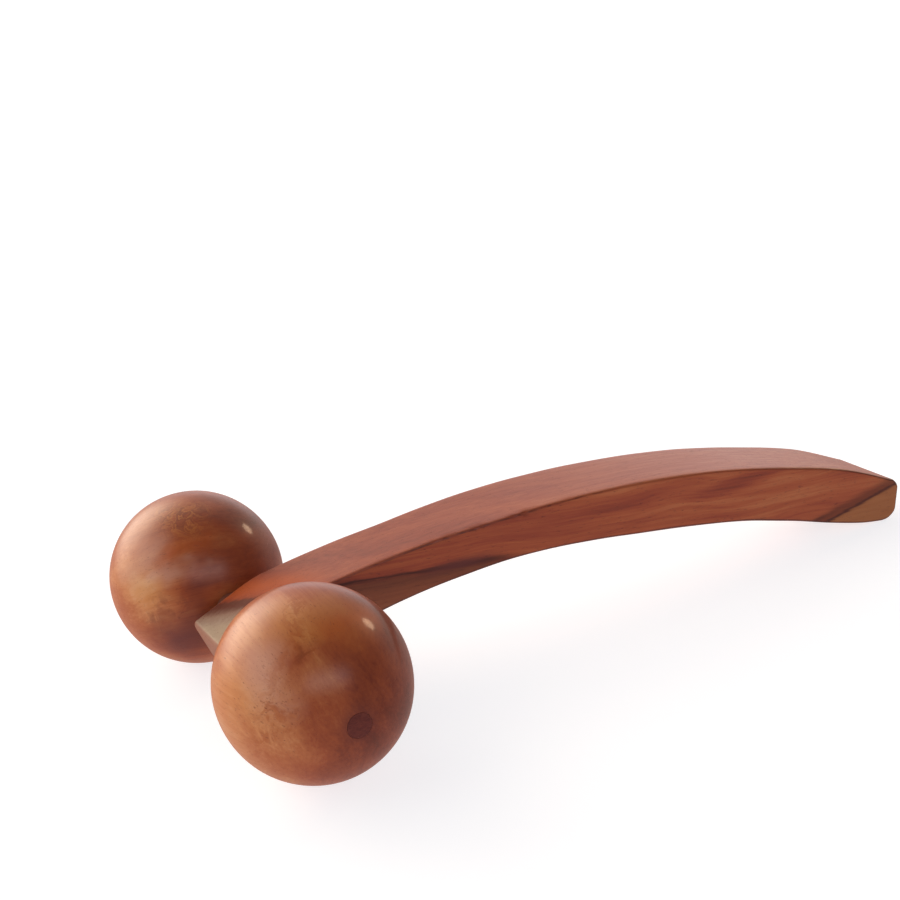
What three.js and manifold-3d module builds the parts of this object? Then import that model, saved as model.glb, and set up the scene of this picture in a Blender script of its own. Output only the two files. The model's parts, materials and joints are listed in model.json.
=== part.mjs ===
// Wooden roller massager: an arched hardwood handle whose nose carries a cross axle, with a large
// turned wooden ball running freely on each end of it.
//
// Millimetres, +Z up. +X runs from the balls to the handle's tail and Y runs along the axle.
// The massager stands on z = 0 on both balls and on its tail, and the origin is under the middle
// of its length. "Left" is -Y and "right" is +Y.

import * as THREE from 'three';
import { mergeVertices } from 'three/addons/utils/BufferGeometryUtils.js';
import Module from 'manifold-3d';

const wasm = await Module();
wasm.setup();

// Balls: turned wood, a little longer along the axle than across it.
const BALL_RADIUS = 25;
const BALL_HALF_LENGTH = 26.75;
const BALL_CENTRE_Y = 40.5;
const BALL_FLAT_RADIUS = 3.75;
const BALL_BORE_RADIUS = 2.1;
const BALL_SEGMENTS = 48;
const BALL_PROFILE_STEPS = 20;

// Axle pin and the hardware on each end of it.
const AXLE_Z = BALL_RADIUS;
const PIN_RADIUS = 2;
const PIN_HALF_LENGTH = 57.2;
const PIN_CHAMFER = 0.3;
const TAPPED_HOLE_RADIUS = 1.35;
const TAPPED_HOLE_DEPTH = 8.5;
const SCREW_RADIUS = 1.2;
const SCREW_LENGTH = 8;
const SCREW_HEAD_RADIUS = 2.4;
const SCREW_HEAD_HEIGHT = 1.5;
const SCREW_SLOT_WIDTH = 0.7;
const SCREW_SLOT_DEPTH = 0.8;
const RETAINER_RADIUS = 3;
const RETAINER_HOLE_RADIUS = 1.35;
const RETAINER_THICKNESS = 0.6;
const HARDWARE_SEGMENTS = 32;

// Counterbore in each ball's outer pole: it takes the retaining washer and screw, then the plug.
const COUNTERBORE_RADIUS = 3.35;
const COUNTERBORE_SEAT_Y = 57;
const PLUG_RADIUS = 3.22;
const PLUG_INNER_Y = 60.6;

// Spacer washers between the handle's sides and the balls.
const SPACER_RADIUS = 4.6;
const SPACER_HOLE_RADIUS = 2.12;
const SPACER_THICKNESS = 2.2;

// Gap kept between neighbouring pieces along the axle, and round the pin in the handle.
const JOINT_GAP = 0.1;
const HANDLE_BORE_RADIUS = 2.15;

// Handle: half width along Y, narrower at the nose, and the rounding of its long edges.
const HANDLE_NOSE_HALF_WIDTH = 11.5;
const HANDLE_HALF_WIDTH = 13;
const HANDLE_WIDENS_FROM_X = 45;
const HANDLE_WIDENS_TO_X = 80;
const HANDLE_EDGE_RADIUS = 0.8;
const HANDLE_EDGE_STEPS = 2;
const HANDLE_STATIONS = 56;

// Handle edges in side view, from nose to tail: x from the axle, z from the floor.
const NOSE_HEEL = { start: [-8.4, 14.4], corner: [-8, 13.5] };
const UNDERSIDE = [
  [-6.5, 13.9], [15, 18.7], [38, 23.4], [60, 25.9], [80, 26.9], [103, 24.9],
  [130, 20.9], [155, 16.6], [176, 11.1], [195, 5.2], [208, 1.6], [217, 0],
];
const NOSE_TIP = { start: [-11.9, 22.6], corner: [-12.4, 25.3], end: [-9.4, 26.6] };
const NOSE_BREAK = { start: [0, 30.7], corner: [5.2, 33.1] };
const TOP = [
  [9, 33.9], [22, 36.1], [38, 37.9], [60, 39.7], [84, 40.5], [107, 39.9],
  [130, 37.9], [154, 34.3], [178, 28.9], [201, 22.4], [221.4, 13.7],
];
const TAIL_LOWER = { x: 218.2, z: 5.2, radius: 5.2, from: -90, to: -8 };
const TAIL_UPPER = { x: 219.4, z: 9.6, radius: 4.6, from: 64, to: -8 };

// The part's materials.
const handleWood = new THREE.MeshStandardMaterial({ color: 0x8a4b35, roughness: 0.35, metalness: 0 });
const ballWood = new THREE.MeshStandardMaterial({ color: 0xa4683f, roughness: 0.25, metalness: 0 });
const plugWood = new THREE.MeshStandardMaterial({ color: 0x5a2e28, roughness: 0.3, metalness: 0 });
const steel = new THREE.MeshStandardMaterial({ color: 0xb5b8bb, roughness: 0.35, metalness: 1 });
const nylon = new THREE.MeshStandardMaterial({ color: 0x2b2725, roughness: 0.6, metalness: 0 });

// Merges the shared vertices of a geometry and drops the triangles that collapse on the axis.
function weld(geometry) {
  const bare = geometry.clone();
  bare.deleteAttribute('normal');
  bare.deleteAttribute('uv');
  const merged = mergeVertices(bare);
  const index = merged.index.array;
  const kept = [];
  for (let i = 0; i < index.length; i += 3) {
    const [a, b, c] = [index[i], index[i + 1], index[i + 2]];
    if (a !== b && b !== c && c !== a) kept.push(a, b, c);
  }
  merged.setIndex(kept);
  return merged;
}

function toSolid(geometry) {
  const welded = weld(geometry);
  return new wasm.Manifold(new wasm.Mesh({
    numProp: 3,
    vertProperties: new Float32Array(welded.attributes.position.array),
    triVerts: new Uint32Array(welded.index.array),
  }));
}

function toGeometry(solid) {
  const { vertProperties, triVerts } = solid.getMesh();
  const geometry = new THREE.BufferGeometry();
  geometry.setAttribute('position', new THREE.BufferAttribute(new Float32Array(vertProperties), 3));
  geometry.setIndex(new THREE.BufferAttribute(new Uint32Array(triVerts), 1));
  return geometry;
}

function cut(geometry, ...tools) {
  const solids = tools.map(toSolid);
  return toGeometry(solids.reduce((body, tool) => body.subtract(tool), toSolid(geometry)));
}

// Turns a closed profile of [radius, y] pairs about the axle. The profile runs up the outside.
function turned(profile, segments = HARDWARE_SEGMENTS) {
  const points = profile.map(([radius, y]) => new THREE.Vector2(radius, y));
  return weld(new THREE.LatheGeometry(points, segments));
}

function ring(innerRadius, outerRadius, fromY, toY) {
  return turned([
    [innerRadius, fromY],
    [outerRadius, fromY],
    [outerRadius, toY],
    [innerRadius, toY],
    [innerRadius, fromY],
  ]);
}

// Distance along the axle from a ball's centre to its surface at a given distance from the axle.
function ballReach(radius) {
  return BALL_HALF_LENGTH * Math.sqrt(1 - (radius / BALL_RADIUS) ** 2);
}

// Angle round the ball's profile, measured from the axle, at which the surface is that far from it.
function ballAngle(radius) {
  return Math.asin(radius / BALL_RADIUS);
}

function ballGeometry() {
  const start = ballAngle(BALL_FLAT_RADIUS);
  const end = Math.PI - ballAngle(COUNTERBORE_RADIUS);
  const profile = [[BALL_BORE_RADIUS, BALL_CENTRE_Y - ballReach(BALL_FLAT_RADIUS)]];
  for (let i = 0; i <= BALL_PROFILE_STEPS; i += 1) {
    const angle = THREE.MathUtils.lerp(start, end, i / BALL_PROFILE_STEPS);
    profile.push([BALL_RADIUS * Math.sin(angle), BALL_CENTRE_Y - BALL_HALF_LENGTH * Math.cos(angle)]);
  }
  profile.push([COUNTERBORE_RADIUS, COUNTERBORE_SEAT_Y]);
  profile.push([BALL_BORE_RADIUS, COUNTERBORE_SEAT_Y]);
  profile.push(profile[0]);
  return turned(profile, BALL_SEGMENTS);
}

// The plug's outer end carries on the ball's own curve, so it lies flush.
function plugGeometry() {
  const steps = 4;
  const profile = [[0, PLUG_INNER_Y], [PLUG_RADIUS, PLUG_INNER_Y]];
  for (let i = steps; i > 0; i -= 1) {
    const radius = PLUG_RADIUS * i / steps;
    profile.push([radius, BALL_CENTRE_Y + ballReach(radius)]);
  }
  profile.push([0, BALL_CENTRE_Y + BALL_HALF_LENGTH]);
  return turned(profile);
}

function axlePinGeometry() {
  const rod = turned([
    [0, -PIN_HALF_LENGTH],
    [PIN_RADIUS - PIN_CHAMFER, -PIN_HALF_LENGTH],
    [PIN_RADIUS, -PIN_HALF_LENGTH + PIN_CHAMFER],
    [PIN_RADIUS, PIN_HALF_LENGTH - PIN_CHAMFER],
    [PIN_RADIUS - PIN_CHAMFER, PIN_HALF_LENGTH],
    [0, PIN_HALF_LENGTH],
  ]);
  const overshoot = 1;
  const hole = new THREE.CylinderGeometry(
    TAPPED_HOLE_RADIUS, TAPPED_HOLE_RADIUS, TAPPED_HOLE_DEPTH + overshoot, HARDWARE_SEGMENTS);
  const offset = PIN_HALF_LENGTH - (TAPPED_HOLE_DEPTH - overshoot) / 2;
  return cut(rod, hole.clone().translate(0, offset, 0), hole.clone().translate(0, -offset, 0));
}

function screwGeometry() {
  const underHead = PIN_HALF_LENGTH + RETAINER_THICKNESS + 2 * JOINT_GAP;
  const headTop = underHead + SCREW_HEAD_HEIGHT;
  const body = turned([
    [0, underHead - SCREW_LENGTH],
    [SCREW_RADIUS, underHead - SCREW_LENGTH],
    [SCREW_RADIUS, underHead],
    [SCREW_HEAD_RADIUS, underHead],
    [SCREW_HEAD_RADIUS, headTop - SCREW_HEAD_HEIGHT / 3],
    [SCREW_HEAD_RADIUS * 0.75, headTop],
    [0, headTop],
  ]);
  const slot = new THREE.BoxGeometry(3 * SCREW_HEAD_RADIUS, 2 * SCREW_SLOT_DEPTH, SCREW_SLOT_WIDTH);
  return cut(body, slot.translate(0, headTop, 0));
}

function retainerGeometry() {
  const fromY = PIN_HALF_LENGTH + JOINT_GAP;
  return ring(RETAINER_HOLE_RADIUS, RETAINER_RADIUS, fromY, fromY + RETAINER_THICKNESS);
}

function spacerGeometry() {
  const fromY = HANDLE_NOSE_HALF_WIDTH + JOINT_GAP;
  return ring(SPACER_HOLE_RADIUS, SPACER_RADIUS, fromY, fromY + SPACER_THICKNESS);
}

function addArc(path, { x, z, radius, from, to }) {
  path.absarc(x, z, radius, THREE.MathUtils.degToRad(from), THREE.MathUtils.degToRad(to), to < from);
}

function addSpline(path, points) {
  path.splineThru(points.map(([x, z]) => new THREE.Vector2(x, z)));
}

function handleTop() {
  const path = new THREE.Path();
  path.moveTo(...NOSE_TIP.start);
  path.quadraticCurveTo(...NOSE_TIP.corner, ...NOSE_TIP.end);
  path.lineTo(...NOSE_BREAK.start);
  path.quadraticCurveTo(...NOSE_BREAK.corner, ...TOP[0]);
  addSpline(path, TOP.slice(1));
  addArc(path, TAIL_UPPER);
  return path;
}

function handleUnderside() {
  const path = new THREE.Path();
  path.moveTo(...NOSE_HEEL.start);
  path.quadraticCurveTo(...NOSE_HEEL.corner, ...UNDERSIDE[0]);
  addSpline(path, UNDERSIDE.slice(1));
  addArc(path, TAIL_LOWER);
  return path;
}

function handleHalfWidth(x) {
  const share = THREE.MathUtils.smoothstep(x, HANDLE_WIDENS_FROM_X, HANDLE_WIDENS_TO_X);
  return THREE.MathUtils.lerp(HANDLE_NOSE_HALF_WIDTH, HANDLE_HALF_WIDTH, share);
}

// One cross-section of the handle: a rounded rectangle between a point of the top and one of the
// underside, counterclockwise as seen from the nose.
function handleSection(top, underside) {
  const middle = top.clone().add(underside).multiplyScalar(0.5);
  const halfHeight = top.distanceTo(underside) / 2;
  const up = top.clone().sub(middle).divideScalar(halfHeight);
  const halfWidth = handleHalfWidth(middle.x);
  const section = [];
  for (let corner = 0; corner < 4; corner += 1) {
    const ySign = corner === 0 || corner === 3 ? 1 : -1;
    const upSign = corner < 2 ? 1 : -1;
    for (let i = 0; i <= HANDLE_EDGE_STEPS; i += 1) {
      const angle = (corner + i / HANDLE_EDGE_STEPS) * Math.PI / 2;
      const y = ySign * (halfWidth - HANDLE_EDGE_RADIUS) + HANDLE_EDGE_RADIUS * Math.cos(angle);
      const rise = upSign * (halfHeight - HANDLE_EDGE_RADIUS) + HANDLE_EDGE_RADIUS * Math.sin(angle);
      section.push([middle.x + up.x * rise, y, middle.y + up.y * rise]);
    }
  }
  return section;
}

// Skins a row of equal closed sections and caps both ends.
function loft(sections) {
  const ringSize = sections[0].length;
  const index = [];
  for (let s = 0; s < sections.length - 1; s += 1) {
    for (let i = 0; i < ringSize; i += 1) {
      const [a, b] = [s * ringSize + i, s * ringSize + (i + 1) % ringSize];
      index.push(a, b, a + ringSize, b, b + ringSize, a + ringSize);
    }
  }
  const last = (sections.length - 1) * ringSize;
  for (let i = 1; i < ringSize - 1; i += 1) {
    index.push(0, i + 1, i);
    index.push(last, last + i, last + i + 1);
  }
  const geometry = new THREE.BufferGeometry();
  geometry.setAttribute('position', new THREE.Float32BufferAttribute(sections.flat(2), 3));
  geometry.setIndex(index);
  return geometry;
}

function handleGeometry() {
  const [top, underside] = [handleTop(), handleUnderside()];
  const sections = [];
  for (let i = 0; i <= HANDLE_STATIONS; i += 1) {
    const along = (1 - Math.cos(Math.PI * i / HANDLE_STATIONS)) / 2;
    sections.push(handleSection(top.getPoint(along), underside.getPoint(along)));
  }
  const bore = new THREE.CylinderGeometry(
    HANDLE_BORE_RADIUS, HANDLE_BORE_RADIUS, 4 * HANDLE_HALF_WIDTH, HARDWARE_SEGMENTS);
  return cut(loft(sections), bore.translate(0, 0, AXLE_Z));
}

const massager = new THREE.Group();

function add(parent, name, geometry, material) {
  geometry.computeVertexNormals();
  const mesh = new THREE.Mesh(geometry, material);
  mesh.name = name;
  parent.add(mesh);
}

add(massager, 'handle', handleGeometry(), handleWood);

const axle = new THREE.Group();
axle.position.z = AXLE_Z;
massager.add(axle);
add(axle, 'axle_pin', axlePinGeometry(), steel);

// One end of the axle, built on +Y. Half a turn about X carries it to -Y.
for (const [side, turn] of [['left', Math.PI], ['right', 0]]) {
  const end = new THREE.Group();
  end.rotation.x = turn;
  axle.add(end);
  add(end, `${side}_spacer_washer`, spacerGeometry(), nylon);
  add(end, `${side}_ball`, ballGeometry(), ballWood);
  add(end, `${side}_retaining_washer`, retainerGeometry(), steel);
  add(end, `${side}_retaining_screw`, screwGeometry(), steel);
  add(end, `${side}_ball_plug`, plugGeometry(), plugWood);
}

// The origin is under the middle of the overall length.
massager.updateMatrixWorld(true);
const overall = new THREE.Box3().setFromObject(massager, true);
massager.position.x = -(overall.min.x + overall.max.x) / 2;

export default massager;
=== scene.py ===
import json
import math

import bmesh
import bpy
from mathutils import Matrix, Vector, noise


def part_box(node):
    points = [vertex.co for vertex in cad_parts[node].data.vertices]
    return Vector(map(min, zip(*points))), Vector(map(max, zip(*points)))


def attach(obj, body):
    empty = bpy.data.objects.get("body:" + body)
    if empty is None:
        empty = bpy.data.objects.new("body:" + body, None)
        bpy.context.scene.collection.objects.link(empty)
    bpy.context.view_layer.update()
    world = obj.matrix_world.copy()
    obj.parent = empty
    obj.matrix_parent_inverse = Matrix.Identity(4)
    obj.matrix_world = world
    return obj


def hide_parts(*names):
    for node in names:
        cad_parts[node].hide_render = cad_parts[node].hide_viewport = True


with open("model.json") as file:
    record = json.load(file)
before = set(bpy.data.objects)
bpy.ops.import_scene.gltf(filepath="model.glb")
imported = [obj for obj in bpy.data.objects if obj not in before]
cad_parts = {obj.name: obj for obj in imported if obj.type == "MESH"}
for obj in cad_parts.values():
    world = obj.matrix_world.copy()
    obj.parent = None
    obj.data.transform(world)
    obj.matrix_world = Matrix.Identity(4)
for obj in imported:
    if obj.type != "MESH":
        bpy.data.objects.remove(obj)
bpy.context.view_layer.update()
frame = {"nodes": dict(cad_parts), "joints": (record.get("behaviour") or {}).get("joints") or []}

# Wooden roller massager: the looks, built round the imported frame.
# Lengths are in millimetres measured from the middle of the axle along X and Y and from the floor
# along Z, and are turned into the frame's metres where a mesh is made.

MM = 0.001
TAU = 2 * math.pi
SIDES = {"left": -1, "right": 1}

LEFT_HINGE = next(joint for joint in frame["joints"] if joint["name"] == "left_ball_spin")
AXLE_X, LEFT_CENTRE_Y, AXLE_Z = (v / MM for v in LEFT_HINGE["pos_m"])
BALL_CENTRE_Y = abs(LEFT_CENTRE_Y)

# Balls and plugs, at the CAD model's sizes, but each plug fits its counterbore 0.07 mm closer.
BALL_RADIUS = 25.0
BALL_HALF_LENGTH = 26.75
BALL_FLAT_RADIUS = 3.75
BALL_BORE_RADIUS = 2.1
COUNTERBORE_RADIUS = 3.3
COUNTERBORE_SEAT_Y = 57.0
PLUG_RADIUS = 3.24
PLUG_INNER_Y = 60.6
BALL_FACE_ROUNDING = 0.5
BALL_BORE_ROUNDING = 0.25
PLUG_RIM_ROUNDING = 0.06
PLUG_INNER_ROUNDING = 0.3

# Washers: inner and outer radius as in the CAD model, and the rounding of their edges.
SPACER = {"inner": 2.12, "outer": 4.6, "rounding": 0.25}
KEEPER = {"inner": 1.35, "outer": 3.0, "rounding": 0.12}

# Handle edges in side view, from nose to tail, as in the CAD model but for the upper corner of the
# nose, NOSE_TIP, which is about 0.5 mm crisper.
NOSE_HEEL = ((-8.4, 14.4), (-8.0, 13.5))
UNDERSIDE = (
    (-6.5, 13.9), (15, 18.7), (38, 23.4), (60, 25.9), (80, 26.9), (103, 24.9),
    (130, 20.9), (155, 16.6), (176, 11.1), (195, 5.2), (208, 1.6), (217, 0),
)
NOSE_TIP = ((-12.1, 23.9), (-12.4, 25.3), (-11.1, 25.9))
NOSE_BREAK = ((0, 30.7), (5.2, 33.1))
TOP = (
    (9, 33.9), (22, 36.1), (38, 37.9), (60, 39.7), (84, 40.5), (107, 39.9),
    (130, 37.9), (154, 34.3), (178, 28.9), (201, 22.4), (221.4, 13.7),
)
TAIL_LOWER = {"centre": (218.2, 5.2), "radius": 5.2, "start": -90, "end": -8}
TAIL_UPPER = {"centre": (219.4, 9.6), "radius": 4.6, "start": 64, "end": -8}
NOSE_HALF_WIDTH = 11.5
HALF_WIDTH = 13.0
WIDENS_FROM_X = 45.0
WIDENS_TO_X = 80.0
HANDLE_BORE_RADIUS = 2.15

# How finely the meshes are cut: steps along a profile or curve, and segments round the axle.
FILLET_STEPS = 5
CURVE_STEPS = 24
ARC_STEPS = 32
BALL_PROFILE_STEPS = 110
PLUG_DOME_STEPS = 10
BALL_SEGMENTS = 192
SMALL_SEGMENTS = 96
HANDLE_STATIONS = 420
HANDLE_CORNER_STEPS = 6
HANDLE_ACROSS_STEPS = 14
HANDLE_UP_STEPS = 9

# Meshes: points closer than this, in millimetres, are one, and edges sharper than these, in
# degrees, stay sharp.
WELD_DISTANCE = 0.001
TURNED_SHARP = 35
HANDLE_SHARP = 50


def smoothstep(value, low, high):
    t = min(max((value - low) / (high - low), 0.0), 1.0)
    return t * t * (3 - 2 * t)


def lerp(a, b, t):
    return a + (b - a) * t


def to_frame(point):
    return Vector((point[0] + AXLE_X, point[1], point[2])) * MM


# ---------------------------------------------------------------- camera

CAMERA_PLACE = (-127.55, -366.67, 208.86)
CAMERA_FORWARD = (0.43809, 0.83234, -0.33955)
CAMERA_ROLL = math.radians(4.92)
CAMERA_LENS = 62.58
CAMERA_CLIP = (0.01, 100)


def add_camera():
    data = bpy.data.cameras.new("camera")
    data.lens = CAMERA_LENS
    data.clip_start, data.clip_end = CAMERA_CLIP
    camera = bpy.data.objects.new("camera", data)
    aim = Vector(CAMERA_FORWARD).to_track_quat("-Z", "Y").to_matrix().to_4x4()
    place = Matrix.Translation(to_frame(CAMERA_PLACE))
    camera.matrix_world = place @ aim @ Matrix.Rotation(-CAMERA_ROLL, 4, "Z")
    bpy.context.scene.collection.objects.link(camera)
    bpy.context.scene.camera = camera


# ---------------------------------------------------------------- meshes

def make_piece(name, vertices, faces, sharp=TURNED_SHARP):
    """A smooth-shaded object from points in millimetres, with its normals facing out."""
    mesh = bpy.data.meshes.new(name)
    mesh.from_pydata([to_frame(v) for v in vertices], [], faces)
    work = bmesh.new()
    work.from_mesh(mesh)
    bmesh.ops.remove_doubles(work, verts=work.verts, dist=WELD_DISTANCE * MM)
    bmesh.ops.recalc_face_normals(work, faces=work.faces)
    work.to_mesh(mesh)
    work.free()
    mesh.shade_smooth()
    mesh.set_sharp_from_angle(angle=math.radians(sharp))
    piece = bpy.data.objects.new(name, mesh)
    bpy.context.scene.collection.objects.link(piece)
    return piece


def paint(piece, material):
    piece.data.materials.clear()
    piece.data.materials.append(material)


def stand_in(piece, body, node, slot, material):
    """Paints a piece and puts it on its body, in place of a CAD node."""
    paint(piece, material)
    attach(piece, body)
    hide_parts(node)


def fillet(before, corner, after, radius):
    """The corner of a profile, rounded: points from one tangent point to the other."""
    corner = Vector(corner)
    to_before = (Vector(before) - corner).normalized()
    to_after = (Vector(after) - corner).normalized()
    half = to_before.angle(to_after) / 2
    reach = radius / math.tan(half)
    start, end = corner + to_before * reach, corner + to_after * reach
    centre = corner + (to_before + to_after).normalized() * (radius / math.sin(half))
    curve = []
    for i in range(FILLET_STEPS + 1):
        chord = start.lerp(end, i / FILLET_STEPS) - centre
        curve.append(tuple(centre + chord.normalized() * radius))
    return curve


def turned(name, profile, side, segments, closed=True, shape=None):
    """Turns a profile of (radius, y) points about the axle, on one side of the handle."""
    vertices = []
    for k in range(segments):
        angle = TAU * k / segments
        for radius, y in profile:
            point = Vector((radius * math.cos(angle), side * y, AXLE_Z + radius * math.sin(angle)))
            vertices.append(shape(point) if shape else point)
    size = len(profile)
    faces = []
    for k in range(segments):
        for i in range(size if closed else size - 1):
            j = (i + 1) % size
            a, b = k * size, ((k + 1) % segments) * size
            ring = [a + i, a + j, b + j, b + i]
            if profile[i][0] == 0:
                ring = [a + i, a + j, b + j]
            elif profile[j][0] == 0:
                ring = [a + i, a + j, b + i]
            faces.append(ring)
    return make_piece(name, vertices, faces)


def ball_reach(radius):
    """How far from the ball's centre, along the axle, its surface is at a radius from the axle."""
    return BALL_HALF_LENGTH * math.sqrt(1 - (radius / BALL_RADIUS) ** 2)


# Hand sanding presses the balls in by up to this much, in waves this long, but not near the axle.
BALL_UNEVENNESS = 0.16
BALL_WAVE = 17.0
BALL_EVEN_WITHIN = 5.0


def hand_turned(side):
    """Presses the ball's surface in a little, unevenly, as hand sanding leaves it."""
    centre = Vector((0, side * BALL_CENTRE_Y, AXLE_Z))

    def shape(point):
        out = point - centre
        from_axle = math.hypot(out.x, out.z)
        share = smoothstep(from_axle, BALL_EVEN_WITHIN, 2 * BALL_EVEN_WITHIN)
        depth = BALL_UNEVENNESS * share * (0.5 + 0.5 * noise.noise(point / BALL_WAVE))
        return point - out.normalized() * depth

    return shape


def ball_profile():
    start = math.asin(BALL_FLAT_RADIUS / BALL_RADIUS)
    end = math.pi - math.asin(COUNTERBORE_RADIUS / BALL_RADIUS)
    curve = []
    for i in range(BALL_PROFILE_STEPS + 1):
        angle = lerp(start, end, i / BALL_PROFILE_STEPS)
        curve.append((BALL_RADIUS * math.sin(angle), BALL_CENTRE_Y - BALL_HALF_LENGTH * math.cos(angle)))
    face_y = curve[0][1]
    mouth = (BALL_BORE_RADIUS, face_y)
    seat = (COUNTERBORE_RADIUS, COUNTERBORE_SEAT_Y)
    step = (BALL_BORE_RADIUS, COUNTERBORE_SEAT_Y)
    return (
        fillet(step, mouth, curve[0], BALL_BORE_ROUNDING)
        + fillet(mouth, curve[0], curve[1], BALL_FACE_ROUNDING)
        + curve[1:-1]
        + fillet(curve[-2], curve[-1], seat, PLUG_RIM_ROUNDING)
        + [seat, step]
    )


def plug_profile():
    dome = []
    for i in range(PLUG_DOME_STEPS, -1, -1):
        radius = PLUG_RADIUS * i / PLUG_DOME_STEPS
        dome.append((radius, BALL_CENTRE_Y + ball_reach(radius)))
    start, inner = (0, PLUG_INNER_Y), (PLUG_RADIUS, PLUG_INNER_Y)
    return (
        [start]
        + fillet(start, inner, dome[0], PLUG_INNER_ROUNDING)
        + fillet(inner, dome[0], dome[1], PLUG_RIM_ROUNDING)
        + dome[1:]
    )


def add_balls(ball_materials, plug_material):
    for word, side in SIDES.items():
        body = f"{word}_ball"
        ball = turned(f"{word}_turned_ball", ball_profile(), side, BALL_SEGMENTS, shape=hand_turned(side))
        stand_in(ball, body, f"{word}_ball", "ball_wood", ball_materials[word])
        plug = turned(f"{word}_flush_plug", plug_profile(), side, SMALL_SEGMENTS, closed=False)
        stand_in(plug, body, f"{word}_ball_plug", "plug_wood", plug_material)


# ---------------------------------------------------------------- handle

def quadratic(start, corner, end):
    """A quadratic curve, without its start."""
    points = []
    for i in range(1, CURVE_STEPS + 1):
        t = i / CURVE_STEPS
        points.append(tuple(
            (1 - t) ** 2 * a + 2 * t * (1 - t) * b + t * t * c for a, b, c in zip(start, corner, end)
        ))
    return points


def catmull_rom(points):
    """The same smooth curve through the points as the CAD model's, without its start."""
    last = len(points) - 1
    curve = []
    for i in range(last):
        p0, p1 = points[max(i - 1, 0)], points[i]
        p2, p3 = points[i + 1], points[min(i + 2, last)]
        for k in range(1, CURVE_STEPS + 1):
            t = k / CURVE_STEPS
            place = []
            for a, b, c, d in zip(p0, p1, p2, p3):
                v0, v1 = (c - a) / 2, (d - b) / 2
                place.append(
                    (2 * b - 2 * c + v0 + v1) * t ** 3
                    + (-3 * b + 3 * c - 2 * v0 - v1) * t ** 2
                    + v0 * t + b
                )
            curve.append(tuple(place))
    return curve


def arc(centre, radius, start, end):
    points = []
    for i in range(ARC_STEPS + 1):
        angle = math.radians(lerp(start, end, i / ARC_STEPS))
        points.append((centre[0] + radius * math.cos(angle), centre[1] + radius * math.sin(angle)))
    return points


def top_edge():
    path = [NOSE_TIP[0]] + quadratic(*NOSE_TIP)
    path += [NOSE_BREAK[0]] + quadratic(*NOSE_BREAK, TOP[0])
    path += catmull_rom(TOP)
    return path + arc(**TAIL_UPPER)


def underside_edge():
    path = [NOSE_HEEL[0]] + quadratic(*NOSE_HEEL, UNDERSIDE[0])
    path += catmull_rom(UNDERSIDE)
    return path + arc(**TAIL_LOWER)


def spaced(path, shares):
    """Points at the given shares of a path's length."""
    points = [Vector(p) for p in path]
    lengths = [0.0]
    for a, b in zip(points, points[1:]):
        lengths.append(lengths[-1] + (b - a).length)
    found = []
    i = 0
    for share in shares:
        want = share * lengths[-1]
        while i < len(points) - 2 and lengths[i + 1] < want:
            i += 1
        step = lengths[i + 1] - lengths[i]
        t = (want - lengths[i]) / step if step else 0.0
        found.append(points[i].lerp(points[i + 1], min(max(t, 0.0), 1.0)))
    return found


# The long edges' rounding is EDGE_RADIUS times EDGE_MIDDLE, give or take EDGE_SPREAD, in waves of
# EDGE_WAVE along the handle, and never more than EDGE_HEIGHT_SHARE of half its height.
EDGE_RADIUS = 0.8
EDGE_MIDDLE = 1.15
EDGE_SPREAD = 0.35
EDGE_WAVE = 14
EDGE_HEIGHT_SHARE = 0.9
END_ROUNDING = 1.1

# Hand sanding presses the handle in by up to this much, in waves this long. Chips roughen the near
# top edge from where they set in to where they fade out along it.
HANDLE_UNEVENNESS = 0.14
HANDLE_WAVE = 21.0
CHIPS_SET_IN = (46, 58)
CHIPS_FADE_OUT = (90, 104)
CHIP_DEPTH = 0.35
CHIP_LENGTH = 1.3
CHIP_WIDTH = 1.5


def half_width(x):
    return lerp(NOSE_HALF_WIDTH, HALF_WIDTH, smoothstep(x, WIDENS_FROM_X, WIDENS_TO_X))


def end_inset(distance):
    """How far the sides draw in near an end face, which rounds its upright edges."""
    if distance >= END_ROUNDING:
        return 0.0
    return END_ROUNDING - math.sqrt(END_ROUNDING ** 2 - (END_ROUNDING - distance) ** 2)


def edge_radius(x, corner):
    """The long edges are sanded by hand, so their rounding varies along the handle."""
    wave = noise.noise(Vector((x / EDGE_WAVE, corner * 7.3, 2.1)))
    return EDGE_RADIUS * (EDGE_MIDDLE + EDGE_SPREAD * wave)


def handle_section(top, underside, inset):
    """The rounded outline across the handle, between two points of its side view."""
    middle = (top + underside) / 2
    half_height = (top - underside).length / 2
    up = (top - underside).normalized()
    half = half_width(middle.x) - inset
    corners = []
    for corner, (y_sign, up_sign) in enumerate(((1, 1), (-1, 1), (-1, -1), (1, -1))):
        radius = min(edge_radius(middle.x, corner), half_height * EDGE_HEIGHT_SHARE)
        arc_points = []
        for i in range(HANDLE_CORNER_STEPS + 1):
            angle = (corner + i / HANDLE_CORNER_STEPS) * math.pi / 2
            arc_points.append((
                y_sign * (half - radius) + radius * math.cos(angle),
                up_sign * (half_height - radius) + radius * math.sin(angle),
            ))
        corners.append(arc_points)
    outline = []
    for corner in range(4):
        outline += corners[corner]
        start, end = corners[corner][-1], corners[(corner + 1) % 4][0]
        steps = HANDLE_ACROSS_STEPS if corner in (0, 2) else HANDLE_UP_STEPS
        for i in range(1, steps):
            t = i / steps
            outline.append((lerp(start[0], end[0], t), lerp(start[1], end[1], t)))
    return [(middle.x + up.x * rise, y, middle.y + up.y * rise) for y, rise in outline]


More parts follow.
